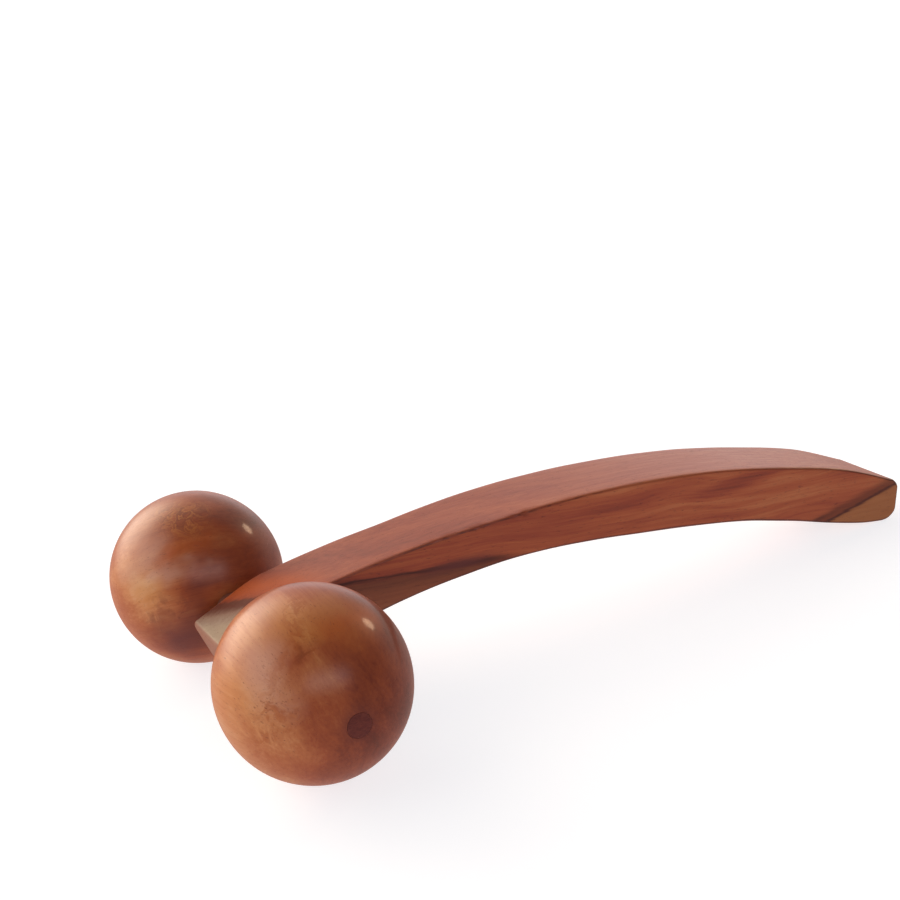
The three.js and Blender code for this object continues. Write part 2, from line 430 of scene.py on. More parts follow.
def handle_blank():
    shares = [(1 - math.cos(math.pi * i / HANDLE_STATIONS)) / 2 for i in range(HANDLE_STATIONS + 1)]
    tops = spaced(top_edge(), shares)
    undersides = spaced(underside_edge(), shares)
    middles = [(a + b) / 2 for a, b in zip(tops, undersides)]
    vertices = []
    for top, underside, middle in zip(tops, undersides, middles):
        from_end = min((middle - middles[0]).length, (middle - middles[-1]).length)
        vertices += handle_section(top, underside, end_inset(from_end))
    size = len(vertices) // (HANDLE_STATIONS + 1)
    faces = []
    for s in range(HANDLE_STATIONS):
        for i in range(size):
            a, b = s * size + i, s * size + (i + 1) % size
            faces.append((a, b, b + size, a + size))
    last = HANDLE_STATIONS * size
    faces.append(tuple(range(size)))
    faces.append(tuple(range(last, last + size)))
    return make_piece("shaped_handle", vertices, faces, HANDLE_SHARP)


def press_in(piece, depth_at):
    """Moves each point of a mesh inwards by depth_at(place, normal), in millimetres."""
    mesh = piece.data
    normals = [v.normal.copy() for v in mesh.vertices]
    for vertex, normal in zip(mesh.vertices, normals):
        place = vertex.co / MM - Vector((AXLE_X, 0, 0))
        vertex.co -= normal * depth_at(place, normal) * MM
    mesh.update()


def sanding(place, normal):
    """The depth of the soft hollows, and of the small chips along the near top edge."""
    depth = HANDLE_UNEVENNESS * (0.5 + 0.5 * noise.noise(place / HANDLE_WAVE))
    on_edge = 2 * abs(normal.y) * math.sqrt(max(0.0, 1 - normal.y ** 2))
    along = smoothstep(place.x, *CHIPS_SET_IN) * (1 - smoothstep(place.x, *CHIPS_FADE_OUT))
    if normal.z > 0.1 and normal.y < 0:
        chip = noise.noise(Vector((place.x / CHIP_LENGTH, place.y / CHIP_WIDTH, 4.7)))
        depth += CHIP_DEPTH * on_edge * along * smoothstep(chip, 0.05, 0.55)
    return depth


def bore_through(piece, radius, reach):
    """Cuts the axle's hole across the nose."""
    cutter = make_piece("bore_cutter", *cylinder_points(radius, reach, SMALL_SEGMENTS))
    cut = piece.modifiers.new("bore", "BOOLEAN")
    cut.operation = "DIFFERENCE"
    cut.solver = "EXACT"
    cut.object = cutter
    graph = bpy.context.evaluated_depsgraph_get()
    result = bpy.data.meshes.new_from_object(piece.evaluated_get(graph))
    piece.modifiers.clear()
    piece.data = result
    result.set_sharp_from_angle(angle=math.radians(HANDLE_SHARP))
    bpy.data.objects.remove(cutter)


def cylinder_points(radius, half_length, segments):
    vertices, faces = [], []
    for k in range(segments):
        angle = TAU * k / segments
        for y in (-half_length, half_length):
            vertices.append((radius * math.cos(angle), y, AXLE_Z + radius * math.sin(angle)))
        a, b = 2 * k, 2 * ((k + 1) % segments)
        faces.append((a, a + 1, b + 1, b))
    faces.append(tuple(range(0, 2 * segments, 2)))
    faces.append(tuple(range(1, 2 * segments, 2)))
    return vertices, faces


def add_handle(material):
    handle = handle_blank()
    press_in(handle, sanding)
    bore_through(handle, HANDLE_BORE_RADIUS, 2 * HALF_WIDTH)
    stand_in(handle, "handle", "handle", "handle_wood", material)


# ---------------------------------------------------------------- hardware

def add_washers(steel, nylon):
    """Rounded washers in place of the CAD model's faceted ones, at the same sizes."""
    for word, side in SIDES.items():
        for piece_word, node, size, slot, material in (
            ("thrust_washer", f"{word}_spacer_washer", SPACER, "washer_nylon", nylon),
            ("keeper_washer", f"{word}_retaining_washer", KEEPER, "steel", steel),
        ):
            washer = turned(f"{word}_{piece_word}", washer_profile(node, **size), side, SMALL_SEGMENTS)
            stand_in(washer, "handle", node, slot, material)


def washer_profile(node, inner, outer, rounding):
    """A washer's section, as far along the axle as the CAD node reaches."""
    near, far = sorted(abs(corner.y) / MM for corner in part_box(node))
    corners = [(inner, near), (outer, near), (outer, far), (inner, far)]
    profile = []
    for i, corner in enumerate(corners):
        profile += fillet(corners[i - 1], corner, corners[(i + 1) % 4], rounding)
    return profile


# ---------------------------------------------------------------- materials

class Shader:
    """The node tree of a material or a world. Every method from place on gives back an output."""

    def __init__(self, owner):
        owner.use_nodes = True
        self.owner = owner
        self.tree = owner.node_tree

    def add(self, kind, values=(), **settings):
        node = self.tree.nodes.new(kind)
        for key, value in settings.items():
            setattr(node, key, value)
        for key, value in dict(values).items():
            self.feed(node.inputs[key], value)
        return node

    def feed(self, socket, value):
        if isinstance(value, bpy.types.NodeSocket):
            self.tree.links.new(value, socket)
        else:
            socket.default_value = value

    def surface(self, **values):
        """Feeds the material's Principled shader and gives back the material."""
        sockets = self.tree.nodes["Principled BSDF"].inputs
        for key, value in values.items():
            self.feed(sockets[key.replace("_", " ").title().replace("Ior", "IOR")], value)
        return self.owner

    def place(self, centre=(0, 0, 0)):
        """Places in millimetres from a point given in the script's own coordinates."""
        source = self.add("ShaderNodeTexCoord").outputs["Object"]
        shift = -to_frame(centre) / MM
        return self.add("ShaderNodeMapping", {
            "Vector": source, "Location": shift, "Scale": (1 / MM,) * 3}).outputs["Vector"]

    def normal(self):
        return self.add("ShaderNodeTexCoord").outputs["Normal"]

    def split(self, vector):
        return self.add("ShaderNodeSeparateXYZ", {0: vector}).outputs

    def join(self, x, y, z):
        return self.add("ShaderNodeCombineXYZ", {0: x, 1: y, 2: z}).outputs[0]

    def math(self, operation, a, b=0.0):
        return self.add("ShaderNodeMath", {0: a, 1: b}, operation=operation).outputs[0]

    def vector(self, operation, a, b):
        return self.add("ShaderNodeVectorMath", {0: a, 1: b}, operation=operation).outputs["Vector"]

    def measure(self, operation, a, b):
        return self.add("ShaderNodeVectorMath", {0: a, 1: b}, operation=operation).outputs["Value"]

    def distance(self, a, b=(0, 0, 0)):
        return self.measure("DISTANCE", a, b)

    def dot(self, a, b):
        return self.measure("DOT_PRODUCT", a, b)

    def plus(self, *terms):
        total = terms[0]
        for term in terms[1:]:
            total = self.math("ADD", total, term)
        return total

    def times(self, *terms):
        total = terms[0]
        for term in terms[1:]:
            total = self.math("MULTIPLY", total, term)
        return total

    def plane(self, xyz, slope, level):
        """slope . place + level, the signed height over a sloping plane."""
        return self.plus(*[self.times(c, s) for c, s in zip(xyz, slope) if s], level)

    def noise(self, vector, scale, detail=3.0, roughness=0.5, distortion=0.0):
        """Noise from 0 to 1. scale is one wave number, or three, per millimetre."""
        if isinstance(scale, tuple):
            vector = self.vector("MULTIPLY", vector, scale)
            scale = 1.0
        return self.add("ShaderNodeTexNoise", {
            "Vector": vector, "Scale": scale, "Detail": detail,
            "Roughness": roughness, "Distortion": distortion}).outputs["Fac"]

    def between(self, value, low, high, out_low=0.0, out_high=1.0, kind="SMOOTHSTEP"):
        return self.add("ShaderNodeMapRange", {
            "Value": value, "From Min": low, "From Max": high,
            "To Min": out_low, "To Max": out_high}, interpolation_type=kind).outputs["Result"]

    def hump(self, value, middle, reach):
        """1 at the middle, falling smoothly to 0 at reach on both sides."""
        return self.between(self.math("ABSOLUTE", self.math("SUBTRACT", value, middle)), 0.0, reach, 1.0, 0.0)

    def centred(self, value, reach):
        """A value from 0 to 1, moved to lie round 0 with the given reach from end to end."""
        return self.times(self.math("SUBTRACT", value, 0.5), reach)

    def warped(self, place, scale, reach):
        """Places pushed about by noise of the given scale, over the given reach from end to end."""
        noise_colour = self.add("ShaderNodeTexNoise", {
            "Vector": place, "Scale": scale, "Detail": 2.0}).outputs["Color"]
        shift = self.vector("SUBTRACT", noise_colour, (0.5,) * 3)
        return self.vector("ADD", place, self.vector("MULTIPLY", shift, (reach,) * 3))

    def grain_space(self, place, along, rings):
        """Places along the fibres, across the growth rings, and across both."""
        along = Vector(along).normalized()
        across = (Vector(rings) - along * along.dot(Vector(rings))).normalized()
        return self.join(*[self.dot(place, axis) for axis in (along, across, along.cross(across))])

    def blob(self, place, centre, radii):
        """1 in the middle of an ellipsoid, falling smoothly to 0 at its surface."""
        scaled = self.vector("DIVIDE", self.vector("SUBTRACT", place, centre), radii)
        return self.between(self.distance(scaled), 0.0, 1.0, 1.0, 0.0)

    def streak(self, place, start, end, reach):
        """1 along the line from start to end, falling smoothly to 0 at reach from it."""
        line = end - start
        from_start = self.vector("SUBTRACT", place, start)
        share = self.between(self.dot(from_start, line), 0.0, line.length_squared, kind="LINEAR")
        nearest = self.add("ShaderNodeVectorMath", {0: line, "Scale": share}, operation="SCALE").outputs[0]
        return self.between(self.distance(from_start, nearest), 0.0, reach, 1.0, 0.0)

    def ramp(self, factor, stops):
        node = self.add("ShaderNodeValToRGB", {"Fac": factor})
        elements = node.color_ramp.elements
        while len(elements) < len(stops):
            elements.new(1.0)
        for element, (position, colour) in zip(elements, stops):
            element.position = position
            element.color = (*colour, 1.0)
        return node.outputs["Color"]

    def mix(self, factor, a, b):
        node = self.add("ShaderNodeMix", data_type="RGBA")
        for index, value in ((0, factor), (6, a), (7, b)):
            if isinstance(value, tuple):
                value = (*value, 1.0)
            self.feed(node.inputs[index], value)
        return node.outputs[2]

    def bump(self, height, strength, distance_mm):
        return self.add("ShaderNodeBump", {
            "Height": height, "Strength": strength, "Distance": distance_mm * MM}).outputs["Normal"]


def material_shader(name):
    return Shader(bpy.data.materials.new(name))


# Wood colours along one scale, from a black-brown vein through heartwood to pale sapwood.
BALL_PALETTE = (
    (0.00, (0.070, 0.013, 0.008)), (0.20, (0.180, 0.030, 0.012)), (0.42, (0.320, 0.066, 0.020)),
    (0.62, (0.430, 0.125, 0.040)), (0.80, (0.560, 0.225, 0.085)), (1.00, (0.660, 0.360, 0.190)),
)
HANDLE_PALETTE = (
    (0.00, (0.050, 0.014, 0.011)), (0.22, (0.150, 0.032, 0.019)), (0.45, (0.310, 0.053, 0.024)),
    (0.65, (0.410, 0.088, 0.031)), (0.85, (0.500, 0.150, 0.054)), (1.00, (0.560, 0.300, 0.160)),
)
SAPWOOD_PALETTE = (
    (0.0, (0.150, 0.038, 0.020)), (0.35, (0.270, 0.072, 0.032)), (0.6, (0.360, 0.130, 0.058)),
    (1.0, (0.450, 0.390, 0.280)),
)
NOSE_PALETTE = (
    (0.10, (0.140, 0.055, 0.040)), (0.45, (0.290, 0.165, 0.115)), (0.80, (0.375, 0.270, 0.200)),
    (1.00, (0.420, 0.320, 0.225)),
)
ORANGE = (0.500, 0.090, 0.014)
CREAM = (0.520, 0.250, 0.170)
END_GRAIN = (0.280, 0.105, 0.070)
GOLD = (0.560, 0.215, 0.050)
RUST = (0.360, 0.078, 0.014)
DARK_RED = (0.135, 0.030, 0.016)
VEIN = (0.055, 0.016, 0.014)
PURPLE = (0.130, 0.030, 0.026)


# The polish on every wooden piece: a satin varnish, thin enough to leave the pores open.
POLISH = {
    "coat_roughness": 0.12, "coat_ior": 1.45, "specular_ior_level": 0.28,
    "sheen_roughness": 0.5, "sheen_tint": (1.0, 0.28, 0.14, 1.0),
}
VARNISH = 0.5
BALL_SHEEN = 0.24
HANDLE_SHEEN = 0.12
RELIEF_STRENGTH = 0.5
RELIEF_MM = 0.05

# Waves per millimetre along the grain, across the growth rings, and across both.
WANDER_SCALE = (0.022, 0.055, 0.055)
BAND_SCALE_ALONG = 0.010
STREAK_SCALE = (0.045, 1.25, 0.8)
PORE_SCALE = (0.42, 2.9, 2.9)
FLECK_SCALE = (0.40, 1.5, 1.5)


def wood_finish(s, colour, relief, roughness, sheen=BALL_SHEEN, varnish=VARNISH):
    return s.surface(
        base_color=colour, roughness=roughness, coat_weight=varnish, sheen_weight=sheen,
        normal=s.bump(relief, RELIEF_STRENGTH, RELIEF_MM), **POLISH,
    )


def wood_figure(s, grain, wave, bands_per_mm):
    """Growth bands, fine streaks and open pores that run with the grain, each from 0 to 1."""
    along, across, third = s.split(grain)
    across = s.plus(across, s.centred(s.noise(grain, WANDER_SCALE, 2.0), wave))
    swept = s.join(along, across, third)
    bands = s.noise(swept, (BAND_SCALE_ALONG, bands_per_mm, bands_per_mm / 4), 4.0, 0.55)
    streaks = s.noise(swept, STREAK_SCALE, 5.0, 0.62)
    pores = s.between(s.noise(grain, PORE_SCALE, 2.0, 0.6), 0.615, 0.70)
    return bands, streaks, pores


def wood_relief(s, streaks, pores):
    return s.plus(s.times(streaks, 0.35), s.times(pores, -1.0))


def wood_roughness(s, streaks, pores):
    return s.plus(s.between(streaks, 0.2, 0.8, 0.43, 0.35, "LINEAR"), s.times(pores, 0.12))


# The handle's grain, and the sloping planes that its two dark veins lie in.
HANDLE_GRAIN = {"along": (1.0, 0.0, -0.12), "rings": (0.12, 0.42, 1.0)}
NOSE_VEIN = ((0.127, 0.42, 1.0), -32.5)
TAIL_VEIN = ((-0.192, 0.42, 1.0), 36.1)

# Patches on its near side: centre, reach each way, and how far they shift its shade towards
# sapwood (above 0) or dark heartwood (below 0).
HANDLE_PATCHES = (
    ((112, -13, 34.0), (40, 12, 5.0), -0.10),
    ((156, -13, 29.0), (24, 12, 3.6), -0.32),
    ((178, -13, 19.0), (30, 12, 7.5), 0.20),
)
BLOTCH = {"centre": (59, -12, 30.2), "radii": (17, 7, 2.6)}

# Where parts of the figure fade from one end of the handle to the other.
NOSE_TIP_FADES = (12.0, 24.0)
NOSE_PALE_FADES = (8.0, 36.0)
NOSE_BARE_FADES = (6.0, 30.0)
NOSE_FADES = (66.0, 84.0)
TAIL_SETS_IN = (176.0, 186.0)
TAIL_SECOND_LINE_FADES = (186.0, 206.0)


def handle_wood():
    s = material_shader("handle_heartwood")
    place = s.place()
    xyz = s.split(place)
    grain = s.grain_space(place, **HANDLE_GRAIN)
    bands, streaks, pores = wood_figure(s, grain, 7.0, 0.20)
    ageing = s.between(xyz[0], 10.0, 180.0, 0.46, 0.64, "LINEAR")
    on_top = s.between(s.split(s.normal())[2], 0.5, 0.9)
    figure = s.times(s.centred(bands, 0.95), s.between(on_top, 0.0, 1.0, 1.0, 0.60, "LINEAR"))
    # On the top face the bands are fainter, and the shade is raised a little: painted light on the top face.
    shade = s.plus(ageing, figure, s.centred(streaks, 0.52), s.times(on_top, 0.02))
    for centre, radii, change in HANDLE_PATCHES:
        shade = s.plus(shade, s.times(s.blob(place, centre, radii), change))
    colour = s.ramp(shade, HANDLE_PALETTE)
    ragged = s.centred(s.noise(grain, (0.10, 0.9, 0.9), 4.0, 0.6), 1.8)
    colour = nose_wood(s, colour, place, xyz, streaks, ragged)
    colour = tail_wood(s, colour, xyz, streaks, ragged)
    # Gathered varnish on the top edges, painted shade on the lower edges, and a painted highlight along the
    # top ridge.
    colour = edge_wear_and_painted_light(s, colour, place, xyz[0])
    colour = s.mix(s.times(pores, 0.45), colour, VEIN)
    bare = s.between(xyz[0], *NOSE_BARE_FADES, 0.12, 0.0)
    varnish = s.between(xyz[0], *NOSE_BARE_FADES, 0.0, VARNISH)
    roughness = s.plus(wood_roughness(s, streaks, pores), bare)
    return wood_finish(s, colour, wood_relief(s, streaks, pores), roughness, HANDLE_SHEEN, varnish)


def nose_wood(s, colour, place, xyz, streaks, ragged):
    """An orange patch on top, a dark vein, and under it sapwood that pales away from the vein."""
    x = xyz[0]
    over_vein = s.plus(s.plane(xyz, *NOSE_VEIN), ragged)
    near_nose = s.between(x, *NOSE_FADES, 1.0, 0.0)
    tip = s.between(x, *NOSE_TIP_FADES, 1.0, 0.0)
    colour = s.mix(s.times(s.hump(over_vein, 3.4, 4.4), tip, 0.9), colour, ORANGE)
    pale_end = s.between(x, *NOSE_PALE_FADES, 1.0, 0.35)
    paleness = s.times(s.between(over_vein, -1.0, -6.5, 0.15, 1.0, "LINEAR"), pale_end)
    paleness = s.plus(paleness, s.centred(streaks, 0.4))
    sapwood = s.mix(tip, s.ramp(paleness, SAPWOOD_PALETTE), s.ramp(paleness, NOSE_PALETTE))
    colour = s.mix(s.times(s.between(over_vein, 0.3, -1.6), near_nose), colour, sapwood)
    colour = s.mix(s.times(s.hump(over_vein, -1.0, 2.4), tip), colour, DARK_RED)
    end_face = s.between(s.split(s.normal())[0], -0.60, -0.85)
    colour = s.mix(s.times(end_face, tip, 0.8), colour, END_GRAIN)
    line = s.hump(over_vein, -0.1, s.between(x, 42.0, 58.0, 0.85, 1.5))
    colour = s.mix(s.times(line, near_nose, s.between(tip, 0.0, 1.0, 0.9, 0.4)), colour, VEIN)
    blotch = s.blob(s.vector("ADD", place, s.join(0.0, 0.0, ragged)), **BLOTCH)
    return s.mix(s.times(blotch, 0.9), colour, PURPLE)


def tail_wood(s, colour, xyz, streaks, ragged):
    """A second vein that rises to the end, reddish above its dark core and tan under it."""
    over_vein = s.plus(s.plane(xyz, *TAIL_VEIN), ragged)
    near_tail = s.between(xyz[0], *TAIL_SETS_IN)
    tan = s.mix(0.30, s.ramp(s.plus(0.40, s.centred(streaks, 0.4)), SAPWOOD_PALETTE), GOLD)
    colour = s.mix(s.times(s.between(over_vein, 0.4, -0.9), near_tail), colour, tan)
    second = s.between(xyz[0], *TAIL_SECOND_LINE_FADES, 1.0, 0.0)
    colour = s.mix(s.times(s.hump(over_vein, 1.4, 3.2), near_tail, 0.75), colour, DARK_RED)
    colour = s.mix(s.times(s.hump(over_vein, 2.4, 1.1), near_tail, second, 0.6), colour, VEIN)
    return s.mix(s.times(s.hump(over_vein, 0.0, 1.0), near_tail, 0.85), colour, VEIN)


def edge_wear_and_painted_light(s, colour, place, x):
    """Gathered varnish on both sides' top edges, painted shade on the lower and tail-facing edges, and a
    painted highlight on the top edges' ridge.
    """
    facing = s.split(s.normal())
    sideways = s.math("ABSOLUTE", facing[1])
    top_side = s.between(facing[2], 0.05, 0.18)
    torn = s.between(s.noise(place, (0.32, 1.1, 1.1), 5.0, 0.65), 0.40, 0.58)
    rough_stretch = s.times(s.between(x, 26.0, 50.0), s.between(x, 96.0, 116.0, 1.0, 0.0))
    line = s.times(s.between(sideways, 0.60, 0.82), s.between(sideways, 0.965, 0.995, 1.0, 0.0), top_side)
    strength = s.plus(0.30, s.times(torn, rough_stretch, 0.60))
    colour = s.mix(s.times(line, strength), colour, DARK_RED)
    # Painted shade: the lower edges, and the edges facing the tail, darkened towards VEIN.
    painted_shade_edge = s.math("MAXIMUM", s.between(facing[2], -0.06, -0.22), s.between(facing[0], 0.10, 0.28))
    colour = s.mix(s.times(painted_shade_edge, s.between(sideways, 0.35, 0.60), 0.75), colour, VEIN)
    # Painted highlight: a pale cream line along the ridge of the top edges.
    painted_highlight_crest = s.times(s.hump(sideways, 0.42, 0.34), top_side)
    return s.mix(s.times(painted_highlight_crest, 0.30), colour, CREAM)


# The wood of each ball, with places on it given as directions from its centre.
# Patches: place, radius in mm, and how far they shift its shade towards sapwood (above 0) or dark
# heartwood (below 0). Tints: the two places that each runs between, its reach in mm, colour and
# strength. Mottles are the same, but ragged. The knot: place, radius, strength and lighter colour.
BALLS = {
    "left": {
        "along": (0.0, 1.0, 0.0), "rings": (1.0, 0.0, 0.3), "bands_per_mm": 0.13, "wave": 9.0,
        # slope darkens the shade towards +X, away from the lights: partly heartwood, partly painted shade.
        "shade": 0.43, "slope": (-0.0165, 0.0, 0.0),
        # Patches below the middle darken the bottom: painted shade. Those at the top and upper left
        # lighten it: partly lighter wood, partly painted light.
        "patches": (
            ((-0.70, -0.68, 0.20), 11.0, 0.10), ((-0.35, -0.69, 0.63), 4.0, -0.14),
            ((0.25, -0.52, 0.81), 12.0, 0.14), ((-0.05, -0.22, 0.97), 13.0, 0.27),
            ((-0.05, -0.99, 0.0), 14.0, -0.20), ((0.15, -0.85, -0.51), 14.0, -0.12),
            ((-0.93, -0.34, -0.20), 10.0, -0.10), ((-0.62, -0.62, -0.35), 10.0, -0.07),
            ((-0.15, -0.75, -0.65), 14.0, -0.14), ((-0.42, -0.80, -0.40), 9.0, -0.12),
            ((0.50, -0.84, -0.15), 9.0, -0.12), ((-0.78, -0.45, 0.42), 10.0, 0.10),
            ((-0.55, -0.80, 0.24), 7.5, -0.14), ((-0.82, -0.50, -0.18), 8.0, -0.08),
        ),
        # The cream tint at the upper left is a painted highlight; the gold one at the left below it is
        # partly golden wood and partly painted highlight.
        "tints": (
            ((-0.35, -0.30, 0.87), (0.20, -0.45, 0.86), 11.0, GOLD, 0.55),
            ((-0.85, -0.25, 0.35), (-0.80, -0.55, 0.25), 10.0, GOLD, 0.30),
            ((-0.66, -0.40, 0.62), (-0.66, -0.66, 0.36), 9.5, CREAM, 0.62),
            ((0.10, -0.55, 0.83), (0.42, -0.50, 0.76), 8.0, ORANGE, 0.50),
        ),
        "mottles": (
            ((-0.15, -0.12, 0.98), (-0.29, -0.61, 0.73), 6.5, RUST, 0.60),
            ((-0.29, -0.61, 0.73), (-0.60, -0.60, 0.50), 6.0, RUST, 0.45),
            ((-0.66, -0.72, 0.22), (-0.76, -0.62, -0.08), 7.0, RUST, 0.60),
            ((-0.30, -0.62, 0.72), (-0.34, -0.66, 0.66), 3.5, DARK_RED, 0.45),
        ),
        "streaks": 0.32,
        "knot": ((-0.68, -0.68, 0.28), 14.0, 0.12, GOLD),
    },
    "right": {
        "along": (0.90, -0.40, 0.17), "rings": (0.0, 0.38, 0.93), "bands_per_mm": 0.17, "wave": 8.0,
        # slope darkens the shade towards +X, away from the lights: partly heartwood, partly painted shade.
        "shade": 0.40, "slope": (-0.0105, 0.0, 0.0),
        # Patches below the middle darken the bottom: painted shade. Those at the top and upper left are
        # partly lighter wood, partly painted light; the one facing the handle is painted light in its shade.
        "patches": (
            ((-0.80, -0.54, 0.24), 12.0, 0.40), ((0.0, -0.45, 0.88), 13.0, 0.07),
            ((0.28, -0.80, 0.53), 12.0, 0.02), ((-0.35, -0.87, -0.35), 13.0, -0.30),
            ((-0.62, -0.61, -0.50), 13.0, -0.22), ((-0.32, -0.90, 0.28), 8.0, -0.10),
            ((-0.10, -0.15, 0.98), 12.0, 0.16), ((0.0, -0.97, 0.22), 12.0, 0.10),
        ),
        # The last cream tint, at the upper left, is a painted highlight; the first, a narrow band across
        # the middle, is a painted reflection.
        "tints": (
            ((-0.66, -0.62, 0.42), (-0.14, -0.86, 0.50), 4.2, CREAM, 0.75),
            ((-0.50, -0.60, 0.63), (-0.05, -0.72, 0.70), 5.0, ORANGE, 0.35),
            ((-0.82, -0.52, 0.22), (-0.76, -0.62, 0.18), 6.0, GOLD, 0.65),
            ((-0.60, -0.74, -0.30), (-0.40, -0.88, -0.22), 11.0, PURPLE, 0.85),
            ((-0.86, -0.28, 0.42), (-0.58, -0.42, 0.70), 7.5, CREAM, 0.50),
        ),
        "mottles": (
            ((-0.55, -0.60, 0.60), (-0.05, -0.70, 0.70), 5.0, RUST, 0.50),
            ((-0.72, -0.66, -0.05), (-0.50, -0.82, 0.10), 6.0, DARK_RED, 0.40),
            ((-0.30, -0.25, 0.92), (0.10, -0.40, 0.90), 7.0, DARK_RED, 0.35),
        ),
        "streaks": 0.28,
        "knot": ((-0.20, -0.32, 0.93), 12.0, 0.60, GOLD),
    },
}


# Each ball's stain round its plug, from glue or varnish.
STAIN_RADIUS = 7.5


def on_ball(toward):
    return Vector(toward).normalized() * BALL_RADIUS


def ball_wood(word, side):
    looks = BALLS[word]
    s = material_shader(f"{word}_ball_wood")
    place = s.place((0, side * BALL_CENTRE_Y, AXLE_Z))
    grain = s.grain_space(place, looks["along"], looks["rings"])
    bands, streaks, pores = wood_figure(s, grain, looks["wave"], looks["bands_per_mm"])
    swirl = s.noise(place, 0.075, 3.0, 0.55)
    # The shade darkens along slope, away from the lights: partly the wood's own, partly painted shade.
    shade = s.plus(
        s.plane(s.split(place), looks["slope"], looks["shade"]),
        s.centred(bands, 0.62), s.centred(streaks, looks["streaks"]), s.centred(swirl, 0.40),
    )
    warped = s.warped(place, 0.10, 9.0)
    # Some patches are painted shade towards the bottom and painted light towards the top, as listed.
    for toward, radius, change in looks["patches"]:
        shade = s.plus(shade, s.times(s.blob(warped, on_ball(toward), (radius,) * 3), change))
    colour = s.ramp(shade, BALL_PALETTE)
    # Some tints are painted highlights and one is a painted reflection, as listed in BALLS.
    for start, end, reach, tint, strength in looks["tints"]:
        streak = s.streak(warped, on_ball(start), on_ball(end), reach)
        colour = s.mix(s.times(streak, strength), colour, tint)
    ragged = s.between(s.noise(warped, 0.32, 5.0, 0.62, 0.8), 0.44, 0.58)
    for start, end, reach, tint, strength in looks["mottles"]:
        streak = s.streak(warped, on_ball(start), on_ball(end), reach)
        colour = s.mix(s.times(streak, ragged, strength), colour, tint)
    stained = s.blob(place, (0, side * BALL_HALF_LENGTH, 0), (STAIN_RADIUS,) * 3)
    colour = s.mix(s.times(stained, 0.75), colour, PURPLE)
    colour = knot_wood(s, colour, warped, grain, *looks["knot"])
    colour = s.mix(s.times(pores, 0.28), colour, VEIN)
    return wood_finish(s, colour, wood_relief(s, streaks, pores), wood_roughness(s, streaks, pores))


def knot_wood(s, colour, warped, grain, toward, reach, strength, light):
    """Curled light and dark lines near the knot, and dark flecks that are thicker there."""
    near_knot = s.blob(warped, on_ball(toward), (reach,) * 3)
    curls = s.noise(warped, 0.24, 4.0, 0.6, 1.0)
    colour = s.mix(s.times(s.hump(curls, 0.44, 0.06), near_knot, strength), colour, DARK_RED)
    colour = s.mix(s.times(s.hump(curls, 0.52, 0.05), near_knot, strength), colour, light)
    flecked = s.plus(s.noise(grain, FLECK_SCALE, 2.0, 0.5), s.times(near_knot, 0.075))
    return s.mix(s.times(s.between(flecked, 0.67, 0.80), 0.60), colour, DARK_RED)


PLUG_PALETTE = (
    (0.3, (0.085, 0.013, 0.012)), (0.55, (0.135, 0.024, 0.017)), (0.8, (0.185, 0.040, 0.027)),
)
STEEL_PALETTE = ((0.3, (0.42, 0.42, 0.43)), (0.7, (0.62, 0.62, 0.64)))
NYLON_PALETTE = ((0.3, (0.150, 0.050, 0.032)), (0.7, (0.190, 0.066, 0.042)))


def plug_wood():
    s = material_shader("dark_plug_wood")
    streaks = s.noise(s.place((0, 0, AXLE_Z)), (1.1, 0.2, 3.0), 5.0, 0.6)
    roughness = s.between(streaks, 0.2, 0.8, 0.46, 0.38, "LINEAR")
    return wood_finish(s, s.ramp(streaks, PLUG_PALETTE), s.times(streaks, 0.35), roughness)


def turned_steel():
    s = material_shader("turned_steel")
    rings = s.noise(s.place((0, 0, AXLE_Z)), (0.6, 9.0, 0.6), 3.0)
    return s.surface(
        base_color=s.ramp(rings, STEEL_PALETTE),
        metallic=1.0,
        roughness=s.between(rings, 0.2, 0.8, 0.22, 0.42, "LINEAR"),
        normal=s.bump(rings, 0.3, 0.02),
    )


def dark_nylon():
    """The spacers' red-brown nylon."""
    s = material_shader("dark_nylon")
    mottle = s.noise(s.place((0, 0, AXLE_Z)), 1.4, 3.0)
    return s.surface(
        base_color=s.ramp(mottle, NYLON_PALETTE),
        roughness=s.between(mottle, 0.2, 0.8, 0.60, 0.75, "LINEAR"),
        specular_ior_level=0.15,
        normal=s.bump(mottle, 0.2, 0.03),
    )


# ---------------------------------------------------------------- stage and light

FLOOR_REACH = 14.0
FLOOR_GREY = (0.45, 0.46, 0.47, 1.0)
FLOOR_GLOW = (0.99, 1.0, 1.03, 1.0)
FLOOR_GLOW_STRENGTH = 0.74


def add_floor():
    """A floor that glows a little, so that it stays white, and that the varnish does not mirror."""
    corners = [(x * FLOOR_REACH, y * FLOOR_REACH, 0) for x, y in ((-1, -1), (1, -1), (1, 1), (-1, 1))]
    mesh = bpy.data.meshes.new("floor")
    mesh.from_pydata(corners, [], [(0, 1, 2, 3)])
    floor = bpy.data.objects.new("floor", mesh)
    bpy.context.scene.collection.objects.link(floor)
    mesh.materials.append(material_shader("pale_floor").surface(
        base_color=FLOOR_GREY, roughness=0.9, specular_ior_level=0.1,
        emission_color=FLOOR_GLOW, emission_strength=FLOOR_GLOW_STRENGTH,
    ))
    floor.visible_glossy = False


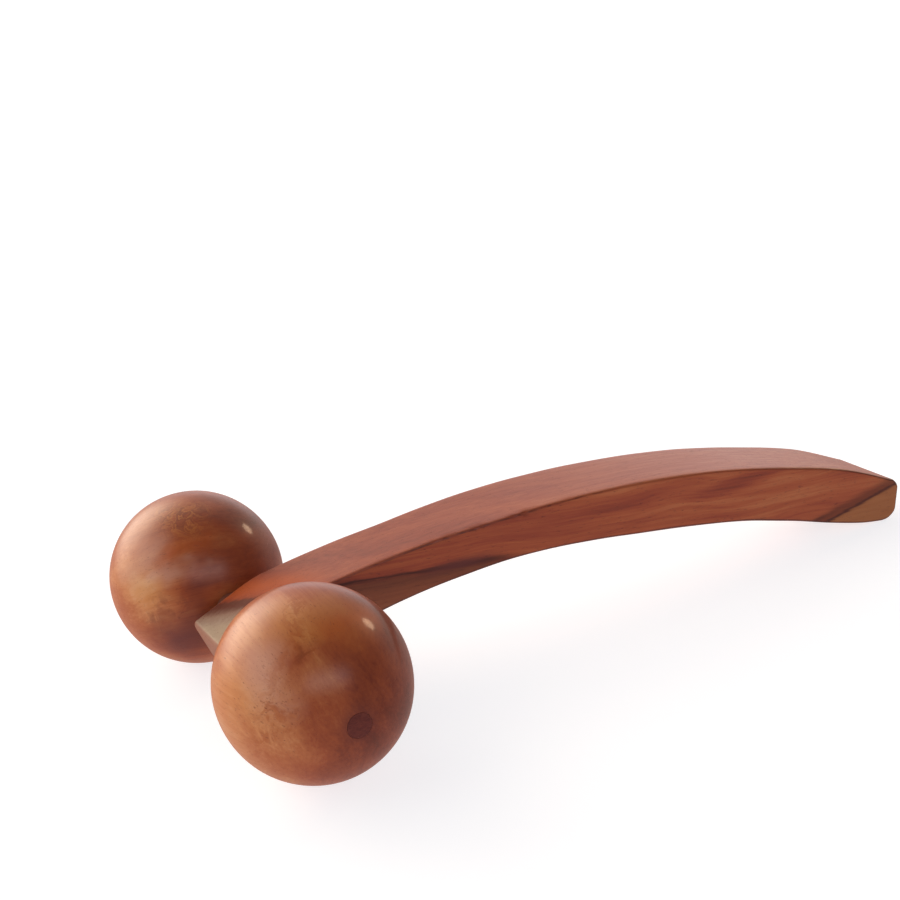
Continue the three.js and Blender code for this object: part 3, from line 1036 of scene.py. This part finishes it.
# Softboxes in the sky: where each one is, seen from the object, its half size across and up and
# how soft its edge is, in degrees, and its light. The last is a card dimmer than the sky behind it.
SOFTBOXES = (
    {"toward": (-0.36, 0.85, 0.38), "across": 23, "up": 20, "edge": 30, "light": (4.0, 3.45, 2.75)},
    {"toward": (0.50, 0.86, 0.08), "across": 16, "up": 10, "edge": 26, "light": (0.78, 0.76, 0.78)},
    {"toward": (-0.82, 0.22, 0.53), "across": 26, "up": 18, "edge": 30, "light": (1.6, 1.45, 1.3)},
    {"toward": (-0.10, -0.83, 0.55), "across": 26, "up": 9, "edge": 22, "light": (1.3, 1.42, 1.55)},
    {"toward": (0.76, 0.37, 0.50), "across": 18, "up": 14, "edge": 20, "light": (0.46, 0.34, 0.28)},
)
# The sky by height, from -1 below to 1 above, and its darker part round FRONT. The camera itself
# sees plain white behind the floor.
BACK_SKY = (
    (-1.0, (0.24, 0.21, 0.21)), (-0.15, (0.34, 0.27, 0.25)),
    (0.05, (0.58, 0.48, 0.42)), (1.0, (0.72, 0.61, 0.55)),
)
FRONT_SKY = (0.09, 0.08, 0.08)
FRONT = (0.10, -0.85, 0.50)
FRONT_FADE = (-0.2, 0.5)
SKY_STRENGTH = 1.25
BACKDROP = (1.0, 1.0, 1.0)
SPARK = {"toward": (0.869, 0.251, 0.426), "degrees": 10.0, "strength": 0.24, "colour": (1.0, 0.68, 0.44)}


def add_sky():
    world = bpy.data.worlds.new("studio")
    bpy.context.scene.world = world
    s = Shader(world)
    toward = s.add("ShaderNodeTexCoord").outputs["Generated"]
    height = s.split(toward)[2]
    colour = s.ramp(s.between(height, -1.0, 1.0, kind="LINEAR"), [((h + 1) / 2, c) for h, c in BACK_SKY])
    colour = s.mix(s.between(s.dot(toward, FRONT), *FRONT_FADE), colour, FRONT_SKY)
    for box in SOFTBOXES:
        ahead = Vector(box["toward"]).normalized()
        across = ahead.cross(Vector((0, 0, 1))).normalized()
        up = across.cross(ahead)
        forward = s.dot(toward, ahead)
        shape = 1.0
        for axis, half in ((across, box["across"]), (up, box["up"])):
            sideways = s.dot(toward, axis)
            angle = s.math("ARCTAN2", s.math("ABSOLUTE", sideways), forward)
            inner, outer = (math.radians(half + sign * box["edge"] / 2) for sign in (-1, 1))
            shape = s.times(shape, s.between(angle, inner, outer, 1.0, 0.0))
        colour = s.mix(shape, colour, box["light"])
    seen = s.add("ShaderNodeLightPath").outputs["Is Camera Ray"]
    colour = s.mix(seen, colour, BACKDROP)
    background = s.tree.nodes["Background"]
    s.feed(background.inputs["Color"], colour)
    background.inputs["Strength"].default_value = SKY_STRENGTH


def add_spark():
    """The one small bright light, which leaves the sharp highlight on each ball."""
    data = bpy.data.lights.new("spark", "SUN")
    data.angle = math.radians(SPARK["degrees"])
    data.energy = SPARK["strength"]
    data.color = SPARK["colour"]
    light = bpy.data.objects.new("spark", data)
    light.rotation_euler = Vector(SPARK["toward"]).to_track_quat("Z", "Y").to_euler()
    bpy.context.scene.collection.objects.link(light)


add_camera()
add_floor()
add_sky()
add_spark()
bpy.context.scene.view_settings.view_transform = "Standard"

steel = turned_steel()
add_balls({word: ball_wood(word, side) for word, side in SIDES.items()}, plug_wood())
add_handle(handle_wood())
add_washers(steel, dark_nylon())
for node in ("axle_pin", "left_retaining_screw", "right_retaining_screw"):
    paint(frame["nodes"][node], steel)
